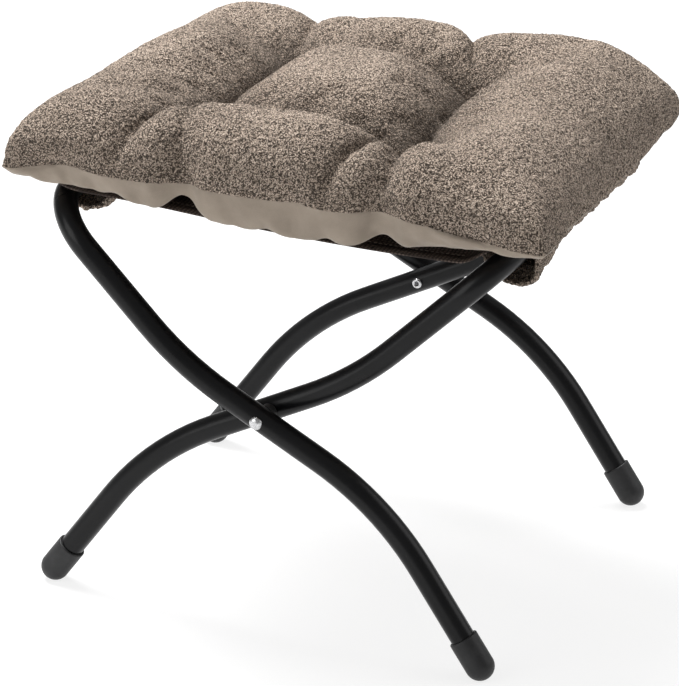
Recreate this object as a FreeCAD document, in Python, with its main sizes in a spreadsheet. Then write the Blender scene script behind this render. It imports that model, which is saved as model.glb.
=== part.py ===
import FreeCAD, Part
import math
import os
from FreeCAD import Placement, Rotation, Vector

# Folding ottoman: two bent tube frames riveted as an X, a woven sling sewn into
# two sleeves on the top bars, and a tufted cushion on the sling.
# +X runs along the seat from the outer frame's bar to the inner frame's bar,
# +Z is up, and the origin is on the floor under the middle of the seat.

SIZES = [
    ("tube_od", 20.0, "outside diameter of the steel tube"),
    ("tube_wall", 1.2, "wall of the steel tube"),
    ("outer_half_width", 193.0, "middle of the seat to the outer frame's leg axis"),
    ("pivot_gap", 8.0, "space between the two tubes at a pivot"),
    ("bar_x", 187.0, "middle of the seat to a top bar's axis"),
    ("bar_z", 339.0, "floor to a top bar's axis"),
    ("pivot_z", 187.0, "floor to the pivot axis"),
    ("middle_slope", 27.0, "slope of a leg's middle run, degrees"),
    ("upper_knee_x", 68.0, "pivot to the upper knee, along X"),
    ("lower_knee_x", 105.0, "pivot to the lower knee, along X"),
    ("foot_x", 192.0, "middle of the seat to a foot"),
    ("upper_knee_radius", 275.0, "bend radius of the upper knee"),
    ("lower_knee_radius", 246.0, "bend radius of the lower knee"),
    ("corner_radius", 48.0, "bend radius from a leg into its top bar"),
    ("cap_od", 24.0, "outside diameter of a rubber foot cap"),
    ("cap_length", 26.0, "length of a cap's straight sleeve"),
    ("cap_floor", 1.5, "rubber between the tube's end and the dome's centre"),
    ("cap_flat", 0.6, "height worn off the dome where it stands"),
    ("cap_lip", 1.0, "round on the cap's upper rim"),
    ("snug", 0.05, "radial clearance of a pressed or running fit"),
    ("rivet_shank", 6.0, "diameter of a pivot rivet"),
    ("rivet_head", 11.0, "diameter of the rivet's domed head"),
    ("rivet_head_height", 3.4, "height of the rivet's domed head"),
    ("rivet_bore", 3.8, "bore of the rivet's tubular end"),
    ("rivet_bore_depth", 9.0, "depth of the rivet's tubular end"),
    ("clinch_bead", 2.6, "thickness of the rolled end"),
    ("side_play", 0.2, "play beside the turning tube"),
    ("spacer_od", 14.0, "diameter of a pivot spacer"),
    ("spacer_round", 1.2, "round on a spacer's rim"),
    ("sling_lift", 0.3, "top of the bar to the sling's underside"),
    ("sling_thickness", 1.2, "thickness of the woven sling"),
    ("sling_left_half", 193.0, "half width of the sling over the outer frame's bar"),
    ("sling_right_half", 166.0, "half width of the sling over the inner frame's bar"),
    ("sling_reach", 15.0, "bar axis to the sling's end"),
    ("sling_corner", 38.0, "round of the sling's corners in plan"),
    ("hem_width", 13.0, "width of the sling's folded hem"),
    ("hem_thickness", 1.2, "thickness of the sling's folded hem"),
    ("fold_gap", 0.15, "fold line to either half of the seat"),
    ("sleeve_thickness", 2.6, "thickness of the sleeve cloth"),
    ("left_sleeve_hang", 26.0, "outer frame's bar axis to the lowest point of its sleeve"),
    ("right_sleeve_hang", 33.0, "inner frame's bar axis to the lowest point of its sleeve"),
    ("sleeve_belly", 20.0, "bar axis to the sleeve's inboard lower corner"),
    ("sleeve_inboard", 44.0, "bar axis to the seam under the sling"),
    ("sleeve_tab", 11.0, "seam allowance under the sling"),
    ("left_sleeve_end", 53.0, "outer frame's leg axis to the end of its sleeve"),
    ("right_sleeve_end", 36.0, "inner frame's leg axis to the end of its sleeve"),
    ("cushion_half_x", 233.0, "half length of the cushion"),
    ("cushion_half_y", 211.0, "half width of the cushion at its corners"),
    ("cushion_draw", 7.0, "how far the cushion's sides draw in at the middle"),
    ("cushion_seam_z", 368.0, "floor to the seam of cover and lining"),
    ("cushion_crown_z", 411.0, "floor to the crown of the middle pillow"),
    ("cushion_lift", 0.3, "hem to the cushion's lining"),
    ("corner_round", 27.0, "round of the cushion's corners in plan"),
    ("shoulder_rise", 15.0, "seam to the shoulder where the side turns into the top"),
    ("shoulder_tuck", 0.4, "shoulder's set-back per unit of its rise"),
    ("dome_power", 8.0, "how late the top falls away towards the ends"),
    ("base_power", 12.0, "how late the base rises towards the ends"),
    ("plan_power", 26.0, "how tight the corners are in plan"),
    ("valley_share", 0.55, "valley between two pillows as a share of the crown"),
    ("side_share", 0.93, "side pillows as a share of the crown"),
    ("row_dip", 17.0, "dip of the pillows along a row of tufts"),
    ("tuft_spread", 34.0, "how far a row of tufts pulls the top down"),
    ("cover_thickness", 2.4, "thickness of cover and lining"),
    ("fill_gap", 0.3, "cover to filling"),
    ("tuft_x", 97.0, "middle of the seat to a tuft along X"),
    ("tuft_y", 92.0, "middle of the seat to a tuft along Y"),
    ("tuft_depth", 36.0, "crown to the bottom of a tuft"),
    ("tie_thread", 2.4, "diameter of the tie's twisted thread"),
    ("tie_knot", 4.4, "diameter of the tie's knots"),
    ("tie_hole", 5.0, "hole that the tie passes"),
]

LEFT = -1
RIGHT = 1
NOSE_TURNS = (10, 32, 60, 90)  # degrees round the cushion's nose at which a section stands

doc = FreeCAD.newDocument("FoldingOttoman")
sheet = doc.addObject("Spreadsheet::Sheet", "Sizes")
for row, (alias, value, meaning) in enumerate(SIZES, start=1):
    sheet.set(f"A{row}", meaning)
    sheet.set(f"B{row}", str(value))
    sheet.setAlias(f"B{row}", alias)
doc.recompute()

nodes = []


def size(alias):
    """Value of one cell of the sheet."""
    return float(sheet.get(alias))


def keep(feature, label):
    """Name a finished sub-part and put it on the list of pieces."""
    feature.Label = label
    nodes.append(feature)
    return feature


def bound(kind, name, **expressions):
    """Document object whose properties follow expressions on the sheet."""
    feature = doc.addObject(kind, name)
    for prop, expression in expressions.items():
        feature.setExpression(prop, expression)
    return feature


def shaped(name, shape):
    """Document object that holds a wire or face worked out from the sheet."""
    feature = doc.addObject("Part::Feature", name)
    feature.Shape = shape
    return feature


def joined(name, pieces):
    """Fuse of several objects."""
    feature = doc.addObject("Part::MultiFuse", name)
    feature.Shapes = pieces
    return feature


def minus(name, base, tool):
    """Base with the tool cut away."""
    feature = doc.addObject("Part::Cut", name)
    feature.Base = base
    feature.Tool = tool
    return feature


def within(name, base, tool):
    """What base and tool share."""
    feature = doc.addObject("Part::Common", name)
    feature.Base = base
    feature.Tool = tool
    return feature


def rounded_run(points, radii):
    """Edges of a polyline whose inner corners are arcs of the given radii."""
    edges = []
    start = points[0]
    for before, corner, after, radius in zip(points, points[1:], points[2:], radii):
        into = (corner - before).normalize()
        out = (after - corner).normalize()
        half_turn = into.getAngle(out) / 2
        reach = radius * math.tan(half_turn)
        inward = (out - into).normalize()
        centre = corner + inward * (radius / math.cos(half_turn))
        first = corner - into * reach
        last = corner + out * reach
        edges.append(Part.LineSegment(start, first).toShape())
        edges.append(Part.Arc(first, centre - inward * radius, last).toShape())
        start = last
    edges.append(Part.LineSegment(start, points[-1]).toShape())
    return edges


# Bent tube frames

def leg_points(side, half_width):
    """Corners of one leg from foot to top bar; side says where its top bar is."""
    slope = math.tan(math.radians(size("middle_slope")))
    foot = Vector(size("foot_x"), half_width, size("cap_od") / 2 - size("cap_flat"))
    lower = Vector(size("lower_knee_x"), half_width, size("pivot_z") - size("lower_knee_x") * slope)
    upper = Vector(-size("upper_knee_x"), half_width, size("pivot_z") + size("upper_knee_x") * slope)
    top = Vector(-size("bar_x"), half_width, size("bar_z"))
    corners = [foot, lower, upper, top]
    return [Vector(-side * p.x, p.y, p.z) for p in corners]


def leg_axis(side, half_width):
    """Dome centre of a foot and the direction of its leg, upwards."""
    foot, knee = leg_points(side, half_width)[:2]
    return foot, (knee - foot).normalize()


def swept_bar(name, path, start, heading, radius):
    """Round bar along a path, its radius an expression on the sheet."""
    ring = bound("Part::Circle", name + "_ring", Radius=radius)
    ring.Placement = Placement(start, Rotation(Vector(0, 0, 1), heading))
    bar = doc.addObject("Part::Sweep", name)
    bar.Sections = [ring]
    bar.Spine = (path, [f"Edge{i + 1}" for i in range(len(path.Shape.Edges))])
    bar.Solid = True
    return bar


def frame_tube(label, side, half_width):
    """Hollow tube of one frame: leg, top bar and leg, drilled at both pivots."""
    near = leg_points(side, -half_width)
    far = leg_points(side, half_width)
    foot, heading = leg_axis(side, -half_width)
    start = foot + heading * size("cap_floor")
    far_foot, far_heading = leg_axis(side, half_width)
    end = far_foot + far_heading * size("cap_floor")
    bends = [size("lower_knee_radius"), size("upper_knee_radius"), size("corner_radius")]
    run = rounded_run([start] + near[1:] + far[:0:-1] + [end], bends + bends[::-1])
    path = shaped(label + "_path", Part.Wire(run))
    outside = swept_bar(label + "_outside", path, start, heading, "Sizes.tube_od / 2")
    inside = swept_bar(label + "_inside", path, start, heading, "Sizes.tube_od / 2 - Sizes.tube_wall")
    drill = bound(
        "Part::Cylinder",
        label + "_drill",
        Radius="Sizes.rivet_shank / 2 + Sizes.snug",
        Height="2 * Sizes.outer_half_width + 2 * Sizes.tube_od",
    )
    across = size("outer_half_width") + size("tube_od")
    drill.Placement = Placement(Vector(0, across, size("pivot_z")), Rotation(Vector(1, 0, 0), 90))
    pipe = minus(label + "_pipe", outside, inside)
    return keep(minus(label, pipe, drill), label)


outer_half = size("outer_half_width")
inner_half = outer_half - size("tube_od") - size("pivot_gap")
frame_tube("outer_frame_tube", LEFT, outer_half)
frame_tube("inner_frame_tube", RIGHT, inner_half)


# Rubber foot caps

ground = bound(
    "Part::Box",
    "ground",
    Length="4 * Sizes.foot_x",
    Width="4 * Sizes.outer_half_width",
    Height="Sizes.cap_od",
)
ground.Placement.Base = Vector(-2 * size("foot_x"), -2 * outer_half, -size("cap_od"))


def foot_cap(label, side, half_width):
    """Domed cap pushed on a leg's end and flat where it meets the floor."""
    skirt = bound(
        "Part::Cylinder", label + "_skirt", Radius="Sizes.cap_od / 2", Height="Sizes.cap_length"
    )
    doc.recompute()
    rim = doc.addObject("Part::Fillet", label + "_rim")
    rim.Base = skirt
    rims = [
        i for i, edge in enumerate(skirt.Shape.Edges, start=1)
        if edge.BoundBox.ZMin > size("cap_length") / 2
    ]
    rim.Edges = [(i, size("cap_lip"), size("cap_lip")) for i in rims]
    dome = bound("Part::Sphere", label + "_dome", Radius="Sizes.cap_od / 2")
    body = joined(label + "_body", [rim, dome])
    socket = bound(
        "Part::Cylinder",
        label + "_socket",
        Radius="Sizes.tube_od / 2 + Sizes.snug",
        Height="Sizes.cap_length",
    )
    socket.Placement.Base = Vector(0, 0, size("cap_floor"))
    cap = minus(label + "_cap", body, socket)
    foot, heading = leg_axis(side, half_width)
    cap.Placement = Placement(foot, Rotation(Vector(0, 0, 1), heading))
    return keep(minus(label, cap, ground), label)


foot_cap("outer_near_foot_cap", LEFT, -outer_half)
foot_cap("outer_far_foot_cap", LEFT, outer_half)
foot_cap("inner_near_foot_cap", RIGHT, -inner_half)
foot_cap("inner_far_foot_cap", RIGHT, inner_half)


# Pivot rivets and spacers, drawn along +Z from the outer tube's outer face

def pivot_seat(depth, facing):
    """Placement on the pivot axis, depth in from the outer tube's outer face."""
    face = outer_half + size("tube_od") / 2 - depth
    turn = Rotation(Vector(0, 0, 1), Vector(0, -facing, 0))
    return Placement(Vector(0, facing * face, size("pivot_z")), turn)


def pivot_rivet(label, facing):
    """Semi-tubular rivet: domed head outside, rolled end on the inner tube."""
    grip = "(2 * Sizes.tube_od + Sizes.pivot_gap + Sizes.side_play)"
    dome = bound(
        "Part::Ellipsoid",
        label + "_head",
        Radius1="Sizes.rivet_head_height",
        Radius2="Sizes.rivet_head / 2",
        Radius3="Sizes.rivet_head / 2",
    )
    dome.Angle1 = -90
    dome.Angle2 = 0
    shank = bound(
        "Part::Cylinder",
        label + "_shank",
        Radius="Sizes.rivet_shank / 2",
        Height=grip + " + Sizes.clinch_bead / 2",
    )
    bead = bound(
        "Part::Torus",
        label + "_bead",
        Radius1="Sizes.rivet_shank / 2",
        Radius2="Sizes.clinch_bead / 2",
    )
    length = 2 * size("tube_od") + size("pivot_gap") + size("side_play")
    bead.Placement.Base = Vector(0, 0, length + size("clinch_bead") / 2)
    bore = bound(
        "Part::Cylinder",
        label + "_bore",
        Radius="Sizes.rivet_bore / 2",
        Height="Sizes.rivet_bore_depth + Sizes.clinch_bead",
    )
    bore.Placement.Base = Vector(0, 0, length + size("clinch_bead") - size("rivet_bore_depth"))
    solid = joined(label + "_solid", [dome, shank, bead])
    rivet = minus(label, solid, bore)
    rivet.Placement = pivot_seat(0, facing)
    return keep(rivet, label)


def pivot_spacer(label, facing):
    """Plain bush that keeps the two tubes apart."""
    bush = bound(
        "Part::Cylinder",
        label + "_bush",
        Radius="Sizes.spacer_od / 2",
        Height="Sizes.pivot_gap - Sizes.side_play",
    )
    doc.recompute()
    rims = doc.addObject("Part::Fillet", label + "_rims")
    rims.Base = bush
    round_edges = [
        i for i, edge in enumerate(bush.Shape.Edges, start=1)
        if edge.BoundBox.ZLength < size("snug")
    ]
    rims.Edges = [(i, size("spacer_round"), size("spacer_round")) for i in round_edges]
    bore = bound(
        "Part::Cylinder",
        label + "_bore",
        Radius="Sizes.rivet_shank / 2 + Sizes.snug",
        Height="Sizes.pivot_gap",
    )
    spacer = minus(label, rims, bore)
    spacer.Placement = pivot_seat(size("tube_od"), facing)
    return keep(spacer, label)


for place, facing in (("near", -1), ("far", 1)):
    pivot_rivet(place + "_pivot_rivet", facing)
    pivot_spacer(place + "_pivot_spacer", facing)


# Woven sling, in two halves that meet at the fold line

sling_z = size("bar_z") + size("tube_od") / 2 + size("sling_lift")
sling_end = size("bar_x") + size("sling_reach")


def sling_half_width(x):
    """Half width of the tapering sling at x."""
    share = (x + size("bar_x")) / (2 * size("bar_x"))
    return size("sling_left_half") + share * (size("sling_right_half") - size("sling_left_half"))


def extruded(name, wire, direction, length):
    """Solid made by extruding a closed wire; length is an expression."""
    outline = shaped(name + "_outline", wire)
    solid = doc.addObject("Part::Extrusion", name)
    solid.Base = outline
    solid.DirMode = "Custom"
    solid.Dir = direction
    solid.Solid = True
    solid.setExpression("LengthFwd", length)
    return solid


def closed_wire(points, radii):
    """Closed outline from a rounded run and the straight edge that shuts it."""
    edges = rounded_run(points, radii)
    edges.append(Part.LineSegment(points[-1], points[0]).toShape())
    return Part.Wire(edges)


def sling_half(label, side):
    """One half of the sling from the fold line out over its bar."""
    fold = side * size("fold_gap")
    end = side * sling_end
    points = [
        Vector(fold, -sling_half_width(fold), sling_z),
        Vector(end, -sling_half_width(end), sling_z),
        Vector(end, sling_half_width(end), sling_z),
        Vector(fold, sling_half_width(fold), sling_z),
    ]
    wire = closed_wire(points, [size("sling_corner")] * 2)
    panel = extruded(label, wire, Vector(0, 0, 1), "Sizes.sling_thickness")
    return keep(panel, label)


def hem_pair(label, side):
    """Folded hems on the sling's two free edges, from the fold line to the corner."""
    top = sling_z + size("sling_thickness")
    fold = side * size("fold_gap")
    end = side * (sling_end - size("sling_corner"))
    strips = []
    for place, facing in (("near", -1), ("far", 1)):
        points = []
        for x, inset in ((fold, 0), (end, 0), (end, size("hem_width")), (fold, size("hem_width"))):
            points.append(Vector(x, facing * (sling_half_width(x) - inset), top))
        wire = Part.makePolygon(points + points[:1])
        strips.append(extruded(f"{label}_{place}", wire, Vector(0, 0, 1), "Sizes.hem_thickness"))
    pair = doc.addObject("Part::Compound", label)
    pair.Links = strips
    return keep(pair, label)


def sleeve(label, side, half_width, lift, hang):
    """Loop of cloth that hangs round a top bar and is sewn under the sling."""
    thick = size("sleeve_thickness")
    roof = sling_z - lift
    outside = -(size("sling_reach") - thick)
    seam = size("sleeve_inboard")
    tab = size("sleeve_tab")
    belly = size("sleeve_belly")
    low = size("bar_z") - hang
    outer_run = [
        (outside - thick, roof),
        (outside - thick, low),
        (belly, low),
        (seam, roof - thick),
        (seam + tab, roof - thick),
    ]
    inner_run = [
        (seam + tab, roof),
        (seam - thick, roof),
        (belly - thick, low + thick),
        (outside, low + thick),
        (outside, roof),
    ]
    bottom_round = hang / 2
    seam_round = 2 * thick
    bends = [bottom_round, bottom_round, seam_round]

    def bar_point(offset_and_height):
        offset, height = offset_and_height
        return Vector(side * (size("bar_x") - offset), -half_width, height)

    outer_edges = rounded_run([bar_point(p) for p in outer_run], bends)
    inner_bends = [thick, bottom_round - thick, bottom_round - thick]
    inner_edges = rounded_run([bar_point(p) for p in inner_run], inner_bends)
    tip = Part.LineSegment(bar_point(outer_run[-1]), bar_point(inner_run[0])).toShape()
    top = Part.LineSegment(bar_point(inner_run[-1]), bar_point(outer_run[0])).toShape()
    wire = Part.Wire(outer_edges + [tip] + inner_edges + [top])
    loop = extruded(label, wire, Vector(0, 1, 0), f"2 * {half_width}")
    return keep(loop, label)


sling_half("left_sling", LEFT)
sling_half("right_sling", RIGHT)
hem_pair("left_sling_hems", LEFT)
hem_pair("right_sling_hems", RIGHT)
left_half = outer_half - size("left_sleeve_end")
right_half = inner_half - size("right_sleeve_end")
sleeve("left_bar_sleeve", LEFT, left_half, size("snug"), size("left_sleeve_hang"))
sleeve("right_bar_sleeve", RIGHT, right_half, size("sling_lift"), size("right_sleeve_hang"))


# Tufted cushion: cover, lining and filling, each in two halves

lining_z = sling_z + size("sling_thickness") + size("hem_thickness") + size("cushion_lift")
tuft_z = size("cushion_crown_z") - size("tuft_depth")


def pillow_section(name, x, half, bottom, shoulder, valley, side_crest, middle_crest):
    """Closed outline across the cushion at x: flat base, round sides, three pillows."""
    seam = size("cushion_seam_z")
    tuck_low = seam - bottom
    tuck_high = (shoulder - seam) * size("shoulder_tuck")
    dip = size("tuft_y")

    def mirrored(points):
        return [Vector(x, -p.y, p.z) for p in reversed(points)]

    near_side = [
        Vector(x, -(half - tuck_low), bottom),
        Vector(x, -half, seam),
        Vector(x, -(half - tuck_high), shoulder),
    ]
    near_pillow = [
        near_side[-1],
        Vector(x, -(half - tuck_high + dip) / 2, side_crest),
        Vector(x, -dip, valley),
    ]
    middle_pillow = [
        near_pillow[-1],
        Vector(x, 0, middle_crest),
        Vector(x, dip, valley),
    ]
    far_side = mirrored(near_side)
    arcs = [near_side, near_pillow, middle_pillow, mirrored(near_pillow), far_side]
    edges = [Part.Arc(*points).toShape() for points in arcs]
    edges.append(Part.LineSegment(far_side[-1], near_side[0]).toShape())
    return shaped(name, Part.Wire(edges))


def swell(share, power):
    """Height of a rounded-off profile, 1 in the middle and 0 at its end."""
    return math.sqrt(1 - abs(share) ** power)


def station(x, inset):
    """Section arguments at x for the cushion's form drawn in by inset."""
    seam = size("cushion_seam_z")
    rise = size("cushion_crown_z") - seam - inset
    half_x = size("cushion_half_x") - inset
    share = x / half_x
    dome = swell(share, size("dome_power"))
    flat = swell(share, size("base_power"))
    plan = swell(share, size("plan_power"))
    tuft_dome = swell(size("tuft_x") / half_x, size("dome_power"))
    row = math.exp(-(((abs(x) - size("tuft_x")) / size("tuft_spread")) ** 2))
    drawn = size("cushion_draw") * (1 - share * share)
    half = size("cushion_half_y") - inset - drawn - size("corner_round") * (1 - plan)
    bottom = seam - (seam - lining_z - inset) * flat
    shoulder = seam + (size("shoulder_rise") - inset / 2) * dome
    between = size("valley_share") * rise
    valley_drop = seam + between * tuft_dome - tuft_z + inset
    valley = seam + between * dome - valley_drop * row
    side_crest = seam + (size("side_share") * rise) * dome - size("row_dip") * row
    middle_crest = seam + rise * dome - size("row_dip") * row
    return x, half, bottom, shoulder, valley, side_crest, middle_crest


def cushion_loft(name, inset):
    """The cushion's whole form, drawn in by inset on every side."""
    half_x = size("cushion_half_x") - inset
    nose = size("corner_round")
    tuft_x = size("tuft_x")
    places = [half_x - nose * (1 - math.cos(math.radians(turn))) for turn in NOSE_TURNS]
    inboard = places[-1]
    places += [(2 * inboard + tuft_x) / 3, (inboard + 2 * tuft_x) / 3, tuft_x, tuft_x / 2]
    places = [-x for x in places] + [0] + places[::-1]
    sections = []
    for number, x in enumerate(places, start=1):
        sections.append(pillow_section(f"{name}_section_{number}", *station(x, inset)))
    loft = doc.addObject("Part::Loft", name)
    loft.Sections = sections
    loft.Solid = True
    loft.Ruled = False
    return loft


def tie_columns(name, radius, low, high):
    """Two upright cylinders at the left half's tufts."""
    columns = []
    for place, facing in (("near", -1), ("far", 1)):
        column = bound("Part::Cylinder", f"{name}_{place}", Radius=radius)
        column.Height = high - low
        column.Placement.Base = Vector(-size("tuft_x"), facing * size("tuft_y"), low)
        columns.append(column)
    return columns


def tie_threads(low, high):
    """Twisted ties with a knot in the tuft and one in the lining."""
    ties = []
    threads = tie_columns("tie_thread", "Sizes.tie_thread / 2", low, high)
    for thread in threads:
        foot = thread.Placement.Base
        knots = []
        for number, level in enumerate((0, high - low), start=1):
            knot = bound("Part::Sphere", f"{thread.Name}_knot_{number}", Radius="Sizes.tie_knot / 2")
            knot.Placement.Base = foot + Vector(0, 0, level)
            knots.append(knot)
        ties.append(joined(f"{thread.Name}_tie", [thread] + knots))
    pair = doc.addObject("Part::Compound", "left_tuft_ties")
    pair.Links = ties
    return pair


def layer_box(name, low, high):
    """Box over the left half, up to the fold line, between two heights."""
    box = bound(
        "Part::Box",
        name,
        Length="2 * Sizes.cushion_half_x - Sizes.fold_gap",
        Width="4 * Sizes.cushion_half_y",
    )
    box.Height = high - low
    box.Placement.Base = Vector(-2 * size("cushion_half_x"), -2 * size("cushion_half_y"), low)
    return box


form = cushion_loft("cushion_form", 0)
hollow = cushion_loft("cushion_hollow", size("cover_thickness"))
core = cushion_loft("cushion_core", size("cover_thickness") + size("fill_gap"))
knot_low = lining_z + size("tie_knot") / 2
hole_low = lining_z - size("tie_hole")
hole_high = size("cushion_crown_z") + size("tie_hole")
seam_z = size("cushion_seam_z")
holes = joined("tie_holes", tie_columns("tie_hole", "Sizes.tie_hole / 2", hole_low, hole_high))
skin = minus("cushion_skin", minus("cushion_shell", form, hollow), holes)
bored_core = minus("bored_core", core, holes)
left_halves = {
    "top_cover": within("left_top_cover", skin, layer_box("above_seam", seam_z, hole_high)),
    "lining": within("left_lining", skin, layer_box("below_seam", hole_low, seam_z - size("snug"))),
    "filling": within("left_filling", bored_core, layer_box("left_side", hole_low, hole_high)),
    "tuft_ties": tie_threads(knot_low, tuft_z),
}
for piece, left in left_halves.items():
    keep(left, "left_" + piece)
    right = doc.addObject("Part::Mirroring", "right_" + piece)
    right.Source = left
    right.Normal = Vector(1, 0, 0)
    keep(right, "right_" + piece)


# Test every piece, then write it

doc.recompute()
failed = [o.Name for o in doc.Objects if "Invalid" in o.State or "Error" in o.State]
for node in nodes:
    if node.Shape.isNull() or not node.Shape.isValid():
        failed.append(node.Label)
if failed:
    raise RuntimeError("pieces that failed: " + ", ".join(failed))
os.makedirs("parts", exist_ok=True)
for node in nodes:
    node.Shape.exportStep(f"parts/{node.Label}.step")
    box = node.Shape.BoundBox
    print(f"{node.Label}: {len(node.Shape.Solids)} solid(s), {node.Shape.Volume:.0f} mm3, "
          f"x {box.XMin:.1f}..{box.XMax:.1f}, y {box.YMin:.1f}..{box.YMax:.1f}, "
          f"z {box.ZMin:.1f}..{box.ZMax:.1f}")
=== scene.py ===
"""Folding ottoman: a tufted boucle cushion on a woven sling between two crossed tube frames."""

import logging
import math
from collections.abc import Callable
from dataclasses import dataclass, field
from enum import Enum

import bpy
import numpy as np
from mathutils import Matrix, Vector

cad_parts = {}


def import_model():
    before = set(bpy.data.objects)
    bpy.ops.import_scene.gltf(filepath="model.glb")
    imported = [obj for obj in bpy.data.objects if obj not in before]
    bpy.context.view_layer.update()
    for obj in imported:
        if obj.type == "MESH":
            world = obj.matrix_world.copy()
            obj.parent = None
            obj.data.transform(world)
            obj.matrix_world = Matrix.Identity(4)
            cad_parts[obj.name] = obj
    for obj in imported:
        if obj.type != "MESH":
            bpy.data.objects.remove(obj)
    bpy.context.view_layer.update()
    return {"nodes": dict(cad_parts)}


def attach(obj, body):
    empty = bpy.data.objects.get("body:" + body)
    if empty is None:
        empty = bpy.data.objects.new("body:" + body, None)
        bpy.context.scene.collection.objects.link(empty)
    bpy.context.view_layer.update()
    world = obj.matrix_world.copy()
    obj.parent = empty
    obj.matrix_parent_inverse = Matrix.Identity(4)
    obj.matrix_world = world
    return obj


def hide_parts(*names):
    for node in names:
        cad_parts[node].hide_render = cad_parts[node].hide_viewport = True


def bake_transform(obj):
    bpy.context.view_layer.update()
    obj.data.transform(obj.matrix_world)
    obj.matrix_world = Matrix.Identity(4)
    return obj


LOG = logging.getLogger("ottoman")
Array = np.ndarray
Pair = tuple[float, float]
Triple = tuple[float, float, float]
WHITE = (1.0, 1.0, 1.0, 1.0)
WEIGHT_STEPS = 20
CELL_FACTORS = (73856093, 19349663, 83492791)
JITTER_RATES = (0.137, 0.291, 0.453)
JITTER_SPREAD = 43758.5453


class Layer(Enum):
    """Material slots of a piece that has an outer and an inner cloth."""

    OUTSIDE = 0
    INSIDE = 1


class Side(Enum):
    """Ends of the seat along X: the outer frame's bar is left, the inner frame's right."""

    LEFT = -1
    RIGHT = 1


class Corner(Enum):
    """Corners of the cushion as signs along X and Y, seen from the front."""

    NEAR_LEFT = (-1, -1)
    NEAR_RIGHT = (1, -1)
    FAR_LEFT = (-1, 1)
    FAR_RIGHT = (1, 1)


# Mesh tools


def deselect_all() -> None:
    """Leave edit mode with nothing selected."""
    if bpy.context.object and bpy.context.object.mode != "OBJECT":
        bpy.ops.object.mode_set(mode="OBJECT")
    bpy.ops.object.select_all(action="DESELECT")


def make_active(piece: bpy.types.Object) -> None:
    """Select one piece alone."""
    deselect_all()
    piece.select_set(True)
    bpy.context.view_layer.objects.active = piece


def add_grid(name: str, columns: int, rows: int) -> bpy.types.Object:
    """Add a flat grid from -1 to 1 along X and Y.

    Args:
        name: name of the new piece.
        columns: cells along X.
        rows: cells along Y.

    Returns:
        The new mesh object.
    """
    deselect_all()
    bpy.ops.mesh.primitive_grid_add(x_subdivisions=columns, y_subdivisions=rows, size=2.0)
    piece = bpy.context.active_object
    piece.name = name
    piece.data.name = name
    return piece


def points_of(piece: bpy.types.Object) -> Array:
    """Vertex positions as an array of rows."""
    flat = np.empty(len(piece.data.vertices) * 3)
    piece.data.vertices.foreach_get("co", flat)
    return flat.reshape(-1, 3)


def move_points(piece: bpy.types.Object, points: Array) -> None:
    """Put every vertex at its new position."""
    piece.data.vertices.foreach_set("co", np.ascontiguousarray(points).ravel())
    piece.data.update()


def apply_modifier(piece: bpy.types.Object, kind: str, **settings: object) -> None:
    """Add a modifier, set it and apply it.

    Args:
        piece: mesh object to change.
        kind: Blender's modifier type.
        settings: properties of the modifier.
    """
    make_active(piece)
    modifier = piece.modifiers.new(kind.lower(), kind)
    for key, value in settings.items():
        setattr(modifier, key, value)
    bpy.ops.object.modifier_apply(modifier=modifier.name)


def edit_whole(
    piece: bpy.types.Object, operator: Callable[..., object], **settings: object
) -> None:
    """Run one operator of edit mode on all of a piece.

    Args:
        piece: mesh object to change.
        operator: Blender's operator.
        settings: the operator's settings.
    """
    make_active(piece)
    bpy.ops.object.mode_set(mode="EDIT")
    bpy.ops.mesh.select_all(action="SELECT")
    operator(**settings)
    bpy.ops.object.mode_set(mode="OBJECT")


def subdivide_smooth(piece: bpy.types.Object, levels: int) -> None:
    """Apply a Catmull-Clark subdivision of some levels."""
    apply_modifier(piece, "SUBSURF", levels=levels, render_levels=levels)


def weigh(piece: bpy.types.Object, name: str, weights: Array) -> None:
    """Store weights from 0 to 1 as a vertex group, in steps that share one call each.

    Args:
        piece: mesh object that gets the group.
        name: name of the group.
        weights: one weight per vertex.
    """
    group = piece.vertex_groups.new(name=name)
    steps = np.round(np.clip(weights, 0.0, 1.0) * WEIGHT_STEPS).astype(int)
    for step in range(1, WEIGHT_STEPS + 1):
        chosen = np.flatnonzero(steps == step)
        if len(chosen):
            group.add(chosen.tolist(), step / WEIGHT_STEPS, "REPLACE")


def note(piece: bpy.types.Object, name: str, values: Array) -> None:
    """Store one number per vertex for the piece's material to read."""
    attribute = piece.data.attributes.new(name, "FLOAT", "POINT")
    attribute.data.foreach_set("value", np.ascontiguousarray(values, dtype=np.float32))


def shade_smooth(piece: bpy.types.Object) -> None:
    """Shade every face of a piece smooth."""
    make_active(piece)
    bpy.ops.object.shade_smooth()


def dress(piece: bpy.types.Object, *materials: bpy.types.Material) -> None:
    """Give a piece its materials, one per slot."""
    piece.data.materials.clear()
    for material in materials:
        piece.data.materials.append(material)


def smooth_step(low: float, high: float, values: Array) -> Array:
    """Ease values from 0 at low to 1 at high."""
    share = np.clip((values - low) / (high - low), 0.0, 1.0)
    return share * share * (3.0 - 2.0 * share)


def bell(values: Array, width: float) -> Array:
    """Bell curve of height 1 at zero."""
    return np.exp(-((values / width) ** 2))


# Finishes


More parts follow.
